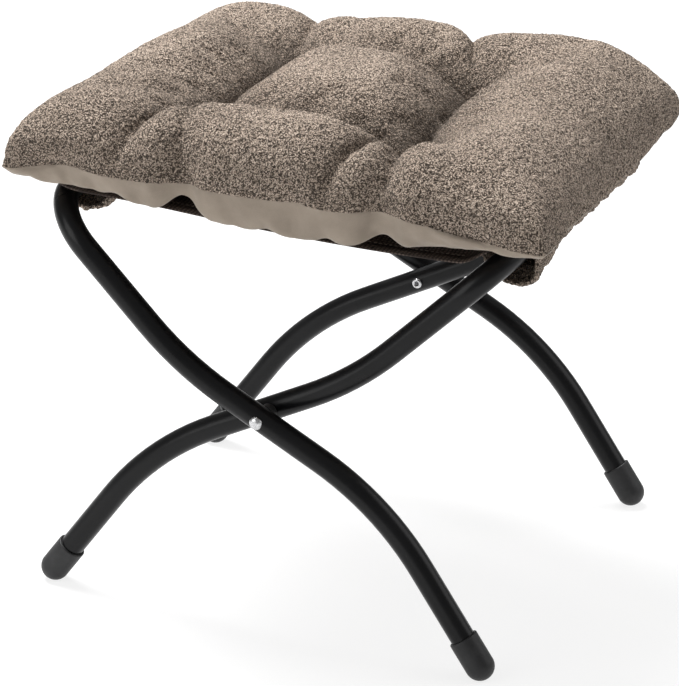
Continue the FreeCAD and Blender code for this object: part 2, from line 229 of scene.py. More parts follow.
class NodeSheet:
    """A new material's node tree with short calls to add and wire nodes."""

    def __init__(self, name: str) -> None:
        """Start a material that holds only its shader and output."""
        self.material = bpy.data.materials.new(name)
        self.material.use_nodes = True
        self.tree = self.material.node_tree
        self.shader = self.tree.nodes["Principled BSDF"]
        self.coords = self.add("ShaderNodeTexCoord").outputs["Object"]

    def add(self, kind: str, **settings: object) -> bpy.types.Node:
        """Add a node.

        Args:
            kind: node type.
            settings: socket values by socket name, with spaces as underscores, or node properties.

        Returns:
            The new node.
        """
        node = self.tree.nodes.new(kind)
        for key, value in settings.items():
            socket = node.inputs.get(key.replace("_", " "))
            if socket is not None:
                socket.default_value = value
            else:
                setattr(node, key, value)
        return node

    def wire(self, source: bpy.types.NodeSocket, target: bpy.types.NodeSocket) -> None:
        """Connect two sockets."""
        self.tree.links.new(source, target)

    def set(self, **values: object) -> None:
        """Set constants straight on the shader's sockets."""
        for key, value in values.items():
            self.shader.inputs[key.replace("_", " ")].default_value = value

    def noise(self, scale: float, detail: float = 2.0, rough: float = 0.5) -> bpy.types.Node:
        """Noise on object coordinates."""
        node = self.add("ShaderNodeTexNoise", Scale=scale, Detail=detail, Roughness=rough)
        self.wire(self.coords, node.inputs["Vector"])
        return node

    def colour_from(
        self, source: bpy.types.NodeSocket, places: tuple[float, ...], *colours: Triple
    ) -> None:
        """Let a number pick the base colour along a ramp.

        Args:
            source: socket that gives the number.
            places: numbers at which the colours lie.
            colours: the ramp's colours in order.
        """
        node = self.add("ShaderNodeValToRGB")
        elements = node.color_ramp.elements
        while len(elements) < len(colours):
            elements.new(0.5)
        for element, place, colour in zip(elements, places, colours):
            element.position = place
            element.color = (*colour, 1.0)
        self.wire(source, node.inputs["Fac"])
        self.wire(node.outputs["Color"], self.shader.inputs["Base Color"])

    def maths(
        self, operation: str, first: bpy.types.NodeSocket, second: bpy.types.NodeSocket | float
    ) -> bpy.types.NodeSocket:
        """Arithmetic on two numbers.

        Args:
            operation: Blender's name of the operation.
            first: first number's socket.
            second: second number, or its socket.

        Returns:
            The result's socket.
        """
        node = self.add("ShaderNodeMath", operation=operation)
        self.wire(first, node.inputs[0])
        if isinstance(second, (int, float)):
            node.inputs[1].default_value = second
        else:
            self.wire(second, node.inputs[1])
        return node.outputs["Value"]

    def rough_from(self, source: bpy.types.NodeSocket, low: float, high: float) -> None:
        """Let a number from 0 to 1 vary the roughness between two values."""
        node = self.add("ShaderNodeMapRange", To_Min=low, To_Max=high)
        self.wire(source, node.inputs["Value"])
        self.wire(node.outputs["Result"], self.shader.inputs["Roughness"])

    def bump_from(self, source: bpy.types.NodeSocket, depth: float, strength: float) -> None:
        """Let a number raise the surface.

        Args:
            source: socket that gives the height.
            depth: height in metres of the number 1.
            strength: share of the effect.
        """
        node = self.add("ShaderNodeBump", Strength=strength, Distance=depth)
        self.wire(source, node.inputs["Height"])
        self.wire(node.outputs["Normal"], self.shader.inputs["Normal"])


@dataclass(frozen=True)
class GrainedFinish:
    """Finish with two tones, a range of gloss and a fine skin, each from noise on the piece.

    A noise is given by its scale, detail and roughness.
    """

    label: str
    dark: Triple
    pale: Triple
    tone_noise: Triple
    tone_stops: Pair
    gloss: Pair
    skin_noise: Triple
    skin_depth: float
    skin_share: float
    constants: dict[str, float] = field(default_factory=dict)

    def material(self) -> bpy.types.Material:
        """Build the node material."""
        sheet = NodeSheet(self.label)
        sheet.set(**self.constants)
        tone = sheet.noise(*self.tone_noise).outputs["Fac"]
        skin = sheet.noise(*self.skin_noise).outputs["Fac"]
        sheet.colour_from(tone, self.tone_stops, self.dark, self.pale)
        sheet.rough_from(tone, *self.gloss)
        sheet.bump_from(skin, self.skin_depth, self.skin_share)
        return sheet.material


@dataclass(frozen=True)
class PowderCoat(GrainedFinish):
    """Black satin powder coat with a fine orange-peel skin."""

    label: str = "black_powder_coat"
    dark: Triple = (0.0030, 0.0030, 0.0034)
    pale: Triple = (0.0055, 0.0055, 0.0061)
    tone_noise: Triple = (18.0, 3.0, 0.5)
    tone_stops: Pair = (0.3, 0.7)
    gloss: Pair = (0.24, 0.35)
    skin_noise: Triple = (1100.0, 3.0, 0.55)
    skin_depth: float = 0.0002
    skin_share: float = 0.35
    constants: dict[str, float] = field(
        default_factory=lambda: {
            "Specular_IOR_Level": 0.2,
            "Coat_Weight": 0.06,
            "Coat_Roughness": 0.16,
        }
    )


@dataclass(frozen=True)
class Rubber(GrainedFinish):
    """Moulded black rubber, matt with faint scuffs."""

    label: str = "black_rubber"
    dark: Triple = (0.010, 0.010, 0.0105)
    pale: Triple = (0.024, 0.024, 0.025)
    tone_noise: Triple = (70.0, 6.0, 0.68)
    tone_stops: Pair = (0.42, 0.72)
    gloss: Pair = (0.38, 0.62)
    skin_noise: Triple = (1600.0, 2.0, 0.5)
    skin_depth: float = 0.0002
    skin_share: float = 0.4
    constants: dict[str, float] = field(default_factory=lambda: {"Specular_IOR_Level": 0.42})


@dataclass(frozen=True)
class PlatedSteel(GrainedFinish):
    """Bright zinc-plated steel with fine turning marks."""

    label: str = "plated_rivet"
    dark: Triple = (0.5, 0.5, 0.51)
    pale: Triple = (0.74, 0.74, 0.75)
    tone_noise: Triple = (900.0, 4.0, 0.6)
    tone_stops: Pair = (0.35, 0.65)
    gloss: Pair = (0.18, 0.34)
    skin_noise: Triple = (900.0, 4.0, 0.6)
    skin_depth: float = 0.00005
    skin_share: float = 0.3
    constants: dict[str, float] = field(default_factory=lambda: {"Metallic": 1.0})


@dataclass(frozen=True)
class Nylon(GrainedFinish):
    """Black moulded nylon."""

    label: str = "black_nylon"
    dark: Triple = (0.012, 0.012, 0.012)
    pale: Triple = (0.026, 0.026, 0.026)
    tone_noise: Triple = (1200.0, 2.0, 0.5)
    tone_stops: Pair = (0.4, 0.6)
    gloss: Pair = (0.42, 0.58)
    skin_noise: Triple = (1200.0, 2.0, 0.5)
    skin_depth: float = 0.0001
    skin_share: float = 0.4


@dataclass(frozen=True)
class Thread(GrainedFinish):
    """Twisted brown sewing thread."""

    label: str = "tie_thread"
    dark: Triple = (0.06, 0.046, 0.037)
    pale: Triple = (0.17, 0.138, 0.113)
    tone_noise: Triple = (2600.0, 2.0, 0.5)
    tone_stops: Pair = (0.35, 0.65)
    gloss: Pair = (0.55, 0.75)
    skin_noise: Triple = (2600.0, 2.0, 0.5)
    skin_depth: float = 0.0002
    skin_share: float = 0.6


@dataclass(frozen=True)
class Boucle:
    """Taupe boucle: curls painted paler at the tips (painted highlight) and darker in the crevices
    and creases (painted shade).

    Shares say how much the mesh's nubs, the fibres and the broad tone add to the shade.
    """

    # Painted light: the crevice colour is painted shade between the curls and the tip colour a
    # painted highlight; the fibre and tone noise also move along this ramp.
    painted_crevice_shade: Triple = (0.060, 0.044, 0.033)
    middle: Triple = (0.505, 0.396, 0.312)
    painted_tip_highlight: Triple = (0.96, 0.83, 0.72)
    stops: Triple = (0.02, 0.34, 0.74)
    curl_scale: float = 760.0
    curl_round: float = 1.25
    warp_scale: float = 330.0
    warp_share: float = 0.004
    nub_share: float = 0.06
    fibre_noise: Triple = (1500.0, 3.0, 0.6)
    fibre_share: float = 0.75
    tone_scale: float = 11.0
    tone_share: float = 0.2
    crease_shade: float = 0.26
    bump_depth: float = 0.0022
    bump_share: float = 0.9

    def material(self) -> bpy.types.Material:
        """Build the node material."""
        sheet = NodeSheet("boucle")
        sheet.set(Roughness=0.95, Specular_IOR_Level=0.15, Sheen_Weight=0.2, Sheen_Roughness=0.6)
        sheet.set(Sheen_Tint=(0.75, 0.68, 0.6, 1.0))
        # Mesh nub height: paints higher nub points paler and lower ones darker, as painted highlight
        # and painted shade.
        nubs = sheet.add("ShaderNodeAttribute", attribute_name="pile").outputs["Fac"]
        crease_painted_shade = sheet.add("ShaderNodeAttribute", attribute_name="crease_painted_shade").outputs["Fac"]
        fibre = sheet.noise(*self.fibre_noise).outputs["Fac"]
        tone = sheet.noise(self.tone_scale).outputs["Fac"]
        curl = self.curl_distance(sheet)
        # Painted shade: darker towards each curl's edge, paler at its middle.
        painted_curl_shade = sheet.maths("MULTIPLY", sheet.maths("MULTIPLY", curl, curl), self.curl_round)
        nub = sheet.maths("SUBTRACT", sheet.maths("MULTIPLY", nubs, self.nub_share), painted_curl_shade)
        height = sheet.maths("ADD", nub, sheet.maths("MULTIPLY", fibre, self.fibre_share))
        shade = sheet.maths("ADD", height, sheet.maths("MULTIPLY", tone, self.tone_share))
        # Painted shade: darker along the cushion's creases.
        shade = sheet.maths("SUBTRACT", shade, sheet.maths("MULTIPLY", crease_painted_shade, self.crease_shade))
        sheet.colour_from(shade, self.stops, self.painted_crevice_shade, self.middle, self.painted_tip_highlight)
        sheet.bump_from(height, self.bump_depth, self.bump_share)
        return sheet.material

    def curl_distance(self, sheet: NodeSheet) -> bpy.types.NodeSocket:
        """Distance to the middle of the nearest curl, on slightly warped coordinates.

        Args:
            sheet: the boucle's node tree.

        Returns:
            The distance's socket.
        """
        warp = sheet.noise(self.warp_scale)
        shift = sheet.add("ShaderNodeMix", data_type="VECTOR")
        shift.inputs["Factor"].default_value = self.warp_share
        sheet.wire(sheet.coords, shift.inputs[4])
        sheet.wire(warp.outputs["Color"], shift.inputs[5])
        curl = sheet.add("ShaderNodeTexVoronoi", feature="F1", Scale=self.curl_scale)
        sheet.wire(shift.outputs[1], curl.inputs["Vector"])
        return curl.outputs["Distance"]


@dataclass(frozen=True)
class LiningCloth:
    """Smooth beige lining with a fine plain weave."""

    dark: Triple = (0.240, 0.198, 0.157)
    pale: Triple = (0.340, 0.283, 0.227)
    stops: Pair = (0.45, 0.95)
    thread_scale: float = 1900.0
    thread_share: float = 0.4
    cloud_noise: Triple = (34.0, 4.0, 0.6)
    gloss: Pair = (0.68, 0.86)
    bump_depth: float = 0.0003
    bump_share: float = 0.5

    def material(self) -> bpy.types.Material:
        """Build the node material."""
        sheet = NodeSheet("lining_cloth")
        sheet.set(Specular_IOR_Level=0.25, Sheen_Weight=0.12, Sheen_Roughness=0.5)
        weft = sheet.noise(self.thread_scale).outputs["Fac"]
        cloud = sheet.noise(*self.cloud_noise).outputs["Fac"]
        both = sheet.maths("ADD", cloud, sheet.maths("MULTIPLY", weft, self.thread_share))
        sheet.colour_from(both, self.stops, self.dark, self.pale)
        sheet.rough_from(weft, *self.gloss)
        sheet.bump_from(weft, self.bump_depth, self.bump_share)
        return sheet.material


@dataclass(frozen=True)
class SlingWeave:
    """Dark brown canvas: threads cross over and under each other."""

    dark: Triple = (0.026, 0.019, 0.016)
    pale: Triple = (0.110, 0.084, 0.070)
    stops: Pair = (0.2, 0.95)
    threads: float = 640.0
    unevenness: float = 1.2
    uneven_scale: float = 2.0
    fluff_noise: Triple = (420.0, 4.0, 0.7)
    fluff_share: float = 0.5
    gloss: Pair = (0.72, 0.92)
    bump_depth: float = 0.0004
    bump_share: float = 0.6

    def material(self) -> bpy.types.Material:
        """Build the node material."""
        sheet = NodeSheet("sling_weave")
        sheet.set(Specular_IOR_Level=0.3)
        bands = []
        for axis in ("X", "Y"):
            wave = sheet.add("ShaderNodeTexWave", bands_direction=axis, Scale=self.threads / math.tau)
            wave.inputs["Distortion"].default_value = self.unevenness
            wave.inputs["Detail Scale"].default_value = self.uneven_scale
            sheet.wire(sheet.coords, wave.inputs["Vector"])
            bands.append(wave.outputs["Fac"])
        weave = sheet.maths("MULTIPLY", *bands)
        fluff = sheet.noise(*self.fluff_noise).outputs["Fac"]
        both = sheet.maths("ADD", weave, sheet.maths("MULTIPLY", fluff, self.fluff_share))
        sheet.colour_from(both, self.stops, self.dark, self.pale)
        sheet.rough_from(fluff, *self.gloss)
        sheet.bump_from(both, self.bump_depth, self.bump_share)
        return sheet.material


@dataclass
class Finishes:
    """The ottoman's materials, each built once."""

    coat: bpy.types.Material = field(default_factory=lambda: PowderCoat().material())
    rubber: bpy.types.Material = field(default_factory=lambda: Rubber().material())
    steel: bpy.types.Material = field(default_factory=lambda: PlatedSteel().material())
    nylon: bpy.types.Material = field(default_factory=lambda: Nylon().material())
    boucle: bpy.types.Material = field(default_factory=lambda: Boucle().material())
    lining: bpy.types.Material = field(default_factory=lambda: LiningCloth().material())
    sling: bpy.types.Material = field(default_factory=lambda: SlingWeave().material())
    thread: bpy.types.Material = field(default_factory=lambda: Thread().material())


# Sub-assemblies


@dataclass
class TubeFrames:
    """The two bent frames with their caps, rivets and spacers, kept from the CAD model."""

    def dress_nodes(self, nodes: dict[str, bpy.types.Object], finishes: Finishes) -> list[str]:
        """Give each kept CAD node its finish.

        Args:
            nodes: the CAD nodes by name.
            finishes: the materials.

        Returns:
            Names of the dressed nodes.
        """
        by_word = {
            "frame_tube": finishes.coat,
            "foot_cap": finishes.rubber,
            "rivet": finishes.steel,
            "spacer": finishes.nylon,
        }
        dressed = []
        for name, node in sorted(nodes.items()):
            for word, material in by_word.items():
                if word in name:
                    dress(node, material)
                    dressed.append(name)
        return dressed


def cell_noise(points: Array, cell: float, seed: int) -> Array:
    """Distance of each point to the nearest of many scattered centres, one per cell.

    Args:
        points: positions in rows.
        cell: edge of a cell.
        seed: number that picks the scatter.

    Returns:
        Distance in cells, about 0 to 0.9.
    """
    scaled = points / cell
    base = np.floor(scaled).astype(np.int64)
    nearest = np.full(len(points), np.inf)
    for step in np.ndindex(3, 3, 3):
        spot = base + np.array(step) - 1
        code = (spot * CELL_FACTORS).sum(axis=1) + seed
        jitter = np.column_stack([np.sin(code * rate) * JITTER_SPREAD for rate in JITTER_RATES])
        centre = spot + jitter - np.floor(jitter)
        nearest = np.minimum(nearest, np.linalg.norm(scaled - centre, axis=1))
    return nearest


@dataclass
class PileCloth:
    """Boucle pile that is raised on a piece's outer faces."""

    nub: float = 0.0030
    nub_height: float = 0.0013
    nub_reach: float = 0.78
    nub_middle: float = 0.45
    nub_seed: int = 7
    lump: float = 0.011
    lump_height: float = 0.0011

    def raise_on(self, piece: bpy.types.Object, group: str) -> None:
        """Raise nubs inside a vertex group and note their height for the material.

        Args:
            piece: finely divided mesh object.
            group: vertex group that says where the pile grows.
        """
        lumps = bpy.data.textures.new("pile_lumps", "CLOUDS")
        lumps.noise_scale = self.lump
        apply_modifier(
            piece,
            "DISPLACE",
            texture=lumps,
            texture_coords="LOCAL",
            vertex_group=group,
            strength=self.lump_height,
            mid_level=0.5,
        )
        points = points_of(piece)
        normals = np.empty(len(points) * 3)
        piece.data.vertices.foreach_get("normal", normals)
        index = piece.vertex_groups[group].index
        covered = np.zeros(len(points))
        for vertex in piece.data.vertices:
            for member in vertex.groups:
                if member.group == index:
                    covered[vertex.index] = member.weight
        off = cell_noise(points, self.nub, self.nub_seed) / self.nub_reach
        dome = np.clip(1.0 - off**2, 0.0, 1.0)
        rise = self.nub_height * (dome - self.nub_middle) * covered
        move_points(piece, points + normals.reshape(-1, 3) * rise[:, None])
        # The boucle paints low nub points darker and high ones paler from this height: painted shade
        # and painted highlight.
        note(piece, "pile", dome)


@dataclass(frozen=True)
class Fold:
    """A crease of the cover: a line of points in plan, its depth at both ends and its width."""

    line: tuple[tuple[float, float], ...]
    depths: tuple[float, float]
    width: float

    def dip(self, x: Array, y: Array, power: float) -> Array:
        """How far the crease pulls the cover down at each place.

        Args:
            x: place along X.
            y: place along Y.
            power: roundness of the pillows beside the crease.

        Returns:
            Depth in metres.
        """
        spots = np.array(self.line)
        lengths = np.linalg.norm(np.diff(spots, axis=0), axis=1)
        run = np.concatenate([[0.0], np.cumsum(lengths)]) / lengths.sum()
        deepest = np.zeros_like(x)
        for start, end, low, high in zip(spots, spots[1:], run, run[1:]):
            way = end - start
            along = ((x - start[0]) * way[0] + (y - start[1]) * way[1]) / (way @ way)
            along = np.clip(along, 0.0, 1.0)
            off = np.hypot(x - start[0] - along * way[0], y - start[1] - along * way[1])
            share = np.clip(off / self.width, 0.0, 1.0)
            at = low + along * (high - low)
            depth = self.depths[0] + at * (self.depths[1] - self.depths[0])
            valley = 1.0 - (1.0 - (1.0 - share) ** 2) ** power
            deepest = np.maximum(deepest, depth * valley)
        return deepest


@dataclass
class Cushion:
    """Tufted cushion: boucle top and smooth lining sewn together round the edge."""

    sling: "Sling"
    columns: int = 112
    rows: int = 100
    half_length: float = 0.2325
    half_width: float = 0.2100
    seam_z: float = 0.3710
    crown_z: float = 0.4215
    rest_z: float = 0.3526
    left_seam_drop: float = 0.0095
    right_seam_drop: float = 0.0175
    seam_drop_start: float = 0.62
    front_droop: float = 0.0100
    front_droop_at: float = 0.70
    front_droop_width: float = 0.16
    front_droop_start: float = 0.55
    side_draw: float = 0.0100
    end_draw: float = 0.0040
    edge_round: float = 0.0620
    edge_blend: int = 5
    tuft_dip: float = 0.0360
    middle_dip: float = 0.0390
    near_dip: float = 0.0130
    far_dip: float = 0.0070
    far_tuft_dip: float = 0.0196
    edge_width: float = 0.0340
    end_dip: float = 0.0110
    end_reach: float = 0.0650
    end_spread: float = 1.12
    end_width: float = 0.0500
    wrinkle_dip: float = 0.0090
    wrinkle_share: float = 0.55
    wrinkle_spread: float = 1.5
    wrinkle_width: float = 0.0180
    fold_blend: int = 4
    crease_width: float = 0.0620
    crease_power: float = 0.60
    crease_bow: float = 0.0020
    pillow_dip: float = 0.0130
    pillow_width: float = 0.0520
    near_rise: float = 0.0070
    near_pillow: Pair = (-0.0080, -0.1380)
    near_pillow_width: Pair = (0.0750, 0.0450)
    unrest: float = 0.0016
    unrest_waves: tuple[Triple, ...] = ((41.0, 9.0, 1.0), (23.0, -37.0, 0.0))
    corner_fall: float = 0.0180
    pleat_dips: Pair = (0.0150, 0.0110)
    pleat_width: float = 0.0280
    corner_pinch: float = 0.92
    rest_share: float = 0.15
    overhang: float = 0.0090
    overhang_reach: Pair = (0.0010, 0.0140)
    overhang_fade: Pair = (0.0900, 0.1500)
    left_fade_share: float = 0.6
    wall_share: float = 0.14
    wall_round: float = 0.0110
    least_depth: float = 0.0020
    notch_x: tuple[float, ...] = (-0.0710, 0.0950)
    near_fold_x: tuple[tuple[float, ...], ...] = ((-0.1280,), (0.0480, 0.1030))
    far_notch_x: tuple[float, ...] = (-0.1170, 0.0200)
    notch_draw: float = 0.0070
    notch_width: float = 0.0160
    notch_rise: float = 0.0140
    notch_rise_width: float = 0.0150
    notch_reach: Pair = (0.70, 0.90)
    pleat_x: tuple[float, ...] = (-0.1280, 0.0010, 0.0520)
    pleat_rise: float = 0.0030
    pleat_rise_width: float = 0.0080
    tufts: dict[Corner, Pair] = field(
        default_factory=lambda: {
            Corner.NEAR_LEFT: (-0.0980, -0.0880),
            Corner.NEAR_RIGHT: (0.0820, -0.0960),
            Corner.FAR_LEFT: (-0.0980, 0.1000),
            Corner.FAR_RIGHT: (0.0660, 0.0950),
        }
    )
    corner_shift: dict[Corner, Triple] = field(
        default_factory=lambda: {
            Corner.NEAR_LEFT: (0.0080, 0.0120, 0.0040),
            Corner.NEAR_RIGHT: (0.0000, 0.0040, 0.0140),
            Corner.FAR_LEFT: (0.0060, 0.0020, -0.0060),
            Corner.FAR_RIGHT: (-0.0190, -0.0150, 0.0150),
        }
    )
    held_share: float = 0.58
    rest_reach: float = 0.86
    notch_hold_width: float = 0.0060
    notch_hold_start: float = 0.7
    swell_steps: int = 20
    cloth_quality: int = 6
    cloth_mass: float = 0.3
    stretch_stiffness: float = 12.0
    shear_stiffness: float = 6.0
    bending_stiffness: float = 1.5
    pressure: float = 3.0
    slack: float = 0.035
    most_move: float = 0.005
    pile: PileCloth = field(default_factory=PileCloth)

    def build(self, finishes: Finishes) -> bpy.types.Object:
        """Model, swell, dress and place the cushion.

        Args:
            finishes: the materials.

        Returns:
            The finished cushion.
        """
        cushion = self.sewn_sheets()
        dress(cushion, finishes.boucle, finishes.lining)
        self.sort_faces(cushion)
        self.swell(cushion)
        subdivide_smooth(cushion, 1)
        self.divide_top(cushion)
        weigh(cushion, "pile_area", self.pile_weights(cushion))
        # Painted shade: crease depth, noted for the boucle to darken the creases.
        places = points_of(cushion)
        crease_painted_shade = self.dip(places[:, 0], places[:, 1]) / self.middle_dip
        note(cushion, "crease_painted_shade", np.clip(crease_painted_shade, 0.0, 1.0))
        self.pile.raise_on(cushion, "pile_area")
        shade_smooth(cushion)
        return cushion

    def sewn_sheets(self) -> bpy.types.Object:
        """Thicken a grid into a closed slab and shape its two sheets.

        The modifier always gives the edges in the same order, so the cloth repeats itself.

        Returns:
            The closed start shape.
        """
        cushion = add_grid("cushion", self.columns, self.rows)
        apply_modifier(cushion, "SOLIDIFY", thickness=1.0, offset=1.0)
        grid = points_of(cushion)
        across, along, top = grid[:, 0], grid[:, 1], grid[:, 2] > 0.5
        upper = self.top_sheet(across, along)
        lower = self.lining_sheet(across, along)
        move_points(cushion, np.where(top[:, None], upper, lower))
        weigh(cushion, "held", self.held(across, along, upper, top))
        return cushion

    def sort_faces(self, cushion: bpy.types.Object) -> None:
        """Put the top and the seam in the outside slot and the lining in the inside slot."""
        top_points = (self.columns + 1) * (self.rows + 1)
        for face in cushion.data.polygons:
            raised = any(index < top_points for index in face.vertices)
            face.material_index = Layer.OUTSIDE.value if raised else Layer.INSIDE.value

    def outline(self, across: Array, along: Array) -> tuple[Array, Array, Array]:
        """Plan of the cushion: sides draw in, corners shift, notches pull at the near side.

        Args:
            across: grid place along X, -1 to 1.
            along: grid place along Y, -1 to 1.

        Returns:
            X, Y and the seam's height over each grid point.
        """
        x = across * (self.half_length - self.end_draw * (1 - along**2) * np.abs(across) ** 3)
        draw = self.side_draw * (1 - across**2)
        for place in self.notch_x:
            draw = draw + self.notch_draw * bell(x - place, self.notch_width)
        y = along * (self.half_width - draw * np.abs(along) ** 5)
        start = self.seam_drop_start
        seam = self.seam_z - self.right_seam_drop * smooth_step(start, 1.0, across)
        seam = seam - self.left_seam_drop * smooth_step(start, 1.0, -across)
        beside = bell(across - self.front_droop_at, self.front_droop_width)
        front = smooth_step(self.front_droop_start, 1.0, -along)
        seam = seam - self.front_droop * beside * front
        for corner, (shift_x, shift_y, lift) in self.corner_shift.items():
            near = self.nearness(corner, across, along)
            x = x + shift_x * near**5
            y = y + shift_y * near**5
            seam = seam + lift * near**3
        return x, y, seam

    @staticmethod
    def nearness(corner: Corner, across: Array, along: Array) -> Array:
        """How near each grid place is to a corner, 1 at the corner."""
        sign_x, sign_y = corner.value
        return np.clip((1 + sign_x * across) * (1 + sign_y * along) / 4, 0.0, 1.0)

    def folds(self) -> list[Fold]:
        """All creases of the cover, between tufts and from tufts to the edges."""
        deep, wide, side = self.tuft_dip, self.crease_width, self.half_width
        found = []
        for first, second in (
            (Corner.NEAR_LEFT, Corner.NEAR_RIGHT),
            (Corner.FAR_LEFT, Corner.FAR_RIGHT),
            (Corner.NEAR_LEFT, Corner.FAR_LEFT),
            (Corner.NEAR_RIGHT, Corner.FAR_RIGHT),
        ):
            start, end = np.array(self.tufts[first]), np.array(self.tufts[second])
            outward = (np.array(first.value) + np.array(second.value)) / 2
            middle = tuple((start + end) / 2 + outward * self.crease_bow)
            for tuft in (tuple(start), tuple(end)):
                found.append(Fold((tuft, middle), (deep, self.middle_dip), wide))
        near = (Corner.NEAR_LEFT, Corner.NEAR_RIGHT)
        far = (Corner.FAR_LEFT, Corner.FAR_RIGHT)
        for corner, places in zip(near, self.near_fold_x):
            for place in places:
                line = (self.tufts[corner], (place, -side))
                found.append(Fold(line, (deep, self.near_dip), self.edge_width))
        for corner, notch in zip(far, self.far_notch_x):
            line = (self.tufts[corner], (notch, side))
            found.append(Fold(line, (self.far_tuft_dip, self.far_dip), self.edge_width))
        line = (self.tufts[Corner.NEAR_LEFT], (self.notch_x[0], -side))
        found.append(Fold(line, self.pleat_dips, self.pleat_width))
        for corner, (x, y) in self.tufts.items():
            out = corner.value[0] * self.end_reach
            line = ((x, y), (x + out, y * self.end_spread))
            found.append(Fold(line, (self.end_dip, 0.0), self.end_width))
            line = ((x, y), (x + self.wrinkle_share * out, y * self.wrinkle_spread))
            found.append(Fold(line, (self.wrinkle_dip, 0.0), self.wrinkle_width))
        return found

    def dip(self, x: Array, y: Array) -> Array:
        """How far all creases together pull the cover down at each place."""
        dips = [fold.dip(x, y, self.crease_power) for fold in self.folds()]
        pinch = sum(dip**self.fold_blend for dip in dips) ** (1 / self.fold_blend)
        wide = np.zeros_like(x)
        for tuft_x, tuft_y in self.tufts.values():
            off = np.hypot(x - tuft_x, y - tuft_y)
            wide = wide + self.pillow_dip * bell(off, self.pillow_width)
        return pinch + wide

    def top_sheet(self, across: Array, along: Array) -> Array:
        """Boucle top: pillows that rise between the creases.

        Args:
            across: grid place along X.
            along: grid place along Y.

        Returns:
            Positions in rows.
        """
        x, y, seam = self.outline(across, along)
        domes = []
        for place, half in ((across, self.half_length), (along, self.half_width)):
            inward = np.clip((1 - np.abs(place)) * half / self.edge_round, 1e-4, 1.0)
            domes.append(np.sqrt(1 - (1 - inward) ** 2))
        dome = sum(part**-self.edge_blend for part in domes) - 1
        dome = dome ** (-1 / self.edge_blend)
        waves = sum(np.sin(a * x + b * y + start) for a, b, start in self.unrest_waves)
        full = self.crown_z - self.seam_z - self.dip(x, y) + self.unrest * waves
        across_pillow = bell(x - self.near_pillow[0], self.near_pillow_width[0])
        along_pillow = bell(y - self.near_pillow[1], self.near_pillow_width[1])
        full = full + self.near_rise * across_pillow * along_pillow
        for corner in (Corner.FAR_LEFT, Corner.FAR_RIGHT):
            full = full - self.corner_fall * self.nearness(corner, across, along) ** 4
        height = seam + dome * full
        return np.column_stack([x, y, height])

    def lining_sheet(self, across: Array, along: Array) -> Array:
        """Lining: upright at the seam, round below it, flat where it lies on the sling.

        Args:
            across: grid place along X.
            along: grid place along Y.

        Returns:
            Positions in rows.
        """
        turns = []
        shares = []
        for place, half in ((across, self.half_length), (along, self.half_width)):
            turn = np.clip((1 - np.abs(place)) / self.wall_share, 0.0, 1.0) * math.pi / 2
            inset = self.wall_round / half * (1 - np.cos(turn))
            flat = np.abs(place) / (1 - self.wall_share) * (1 - self.wall_round / half)
            inner = np.abs(place) < 1 - self.wall_share
            shares.append(np.sign(place) * np.where(inner, flat, 1 - inset))
            turns.append(np.sin(turn))
        x, y, _ = self.outline(shares[0], shares[1])
        seam = self.outline(across, along)[2]
        rest = self.rest_z - self.rest_share * self.sling.sag(x, y)
        past = np.abs(y) - self.sling.half_width(np.clip(x, -self.sling.bar_x, self.sling.bar_x))
        between = 1 - smooth_step(*self.overhang_fade, x)
        between = between - self.left_fade_share * smooth_step(*self.overhang_fade, -x)
        rest = rest - self.overhang * smooth_step(*self.overhang_reach, past) * between
        pinch = sum(self.nearness(corner, across, along) ** 6 for corner in Corner)
        depth = turns[0] * turns[1] * (1 - self.corner_pinch * pinch)
        edge = smooth_step(*self.notch_reach, np.abs(along))
        rise = np.zeros_like(x)
        for places, height, width in (
            (self.notch_x, self.notch_rise, self.notch_rise_width),
            (self.pleat_x, self.pleat_rise, self.pleat_rise_width),
        ):
            for place in places:
                rise = rise + height * bell(x - place, width) * edge
        z = seam - np.maximum(seam - rest - rise, self.least_depth) * depth
        return np.column_stack([x, y, z])

    def held(self, across: Array, along: Array, upper: Array, top: Array) -> Array:
        """Weights of the points that the tufts and the sling hold while the cushion swells."""
        tied = self.dip(upper[:, 0], upper[:, 1]) > self.held_share * self.middle_dip
        rests = (np.abs(across) < self.rest_reach) & (np.abs(along) < self.rest_reach)
        outer = np.abs(along) > self.notch_hold_start
        for place in self.notch_x:
            rests |= (np.abs(upper[:, 0] - place) < self.notch_hold_width) & outer
        return np.where(top, tied, rests).astype(float)

    def swell(self, cushion: bpy.types.Object) -> None:
        """Swell the cover with a short cloth run that is capped and applied.

        Args:
            cushion: the closed start shape.
        """
        start = points_of(cushion)
        make_active(cushion)
        cloth = cushion.modifiers.new("cloth", "CLOTH")
        settings = cloth.settings
        settings.quality = self.cloth_quality
        settings.mass = self.cloth_mass
        settings.tension_stiffness = self.stretch_stiffness
        settings.compression_stiffness = self.stretch_stiffness
        settings.shear_stiffness = self.shear_stiffness
        settings.bending_stiffness = self.bending_stiffness
        settings.shrink_min = -self.slack
        settings.use_pressure = True
        settings.uniform_pressure_force = self.pressure
        settings.vertex_group_mass = "held"
        settings.effector_weights.gravity = 0.0
        scene = bpy.context.scene
        for step in range(1, self.swell_steps + 1):
            scene.frame_set(step)
        bpy.ops.object.modifier_apply(modifier=cloth.name)
        scene.frame_set(1)
        move = points_of(cushion) - start
        far = np.maximum(np.linalg.norm(move, axis=1, keepdims=True), 1e-9)
        points = start + move * np.minimum(1.0, self.most_move / far)
        move_points(cushion, points)

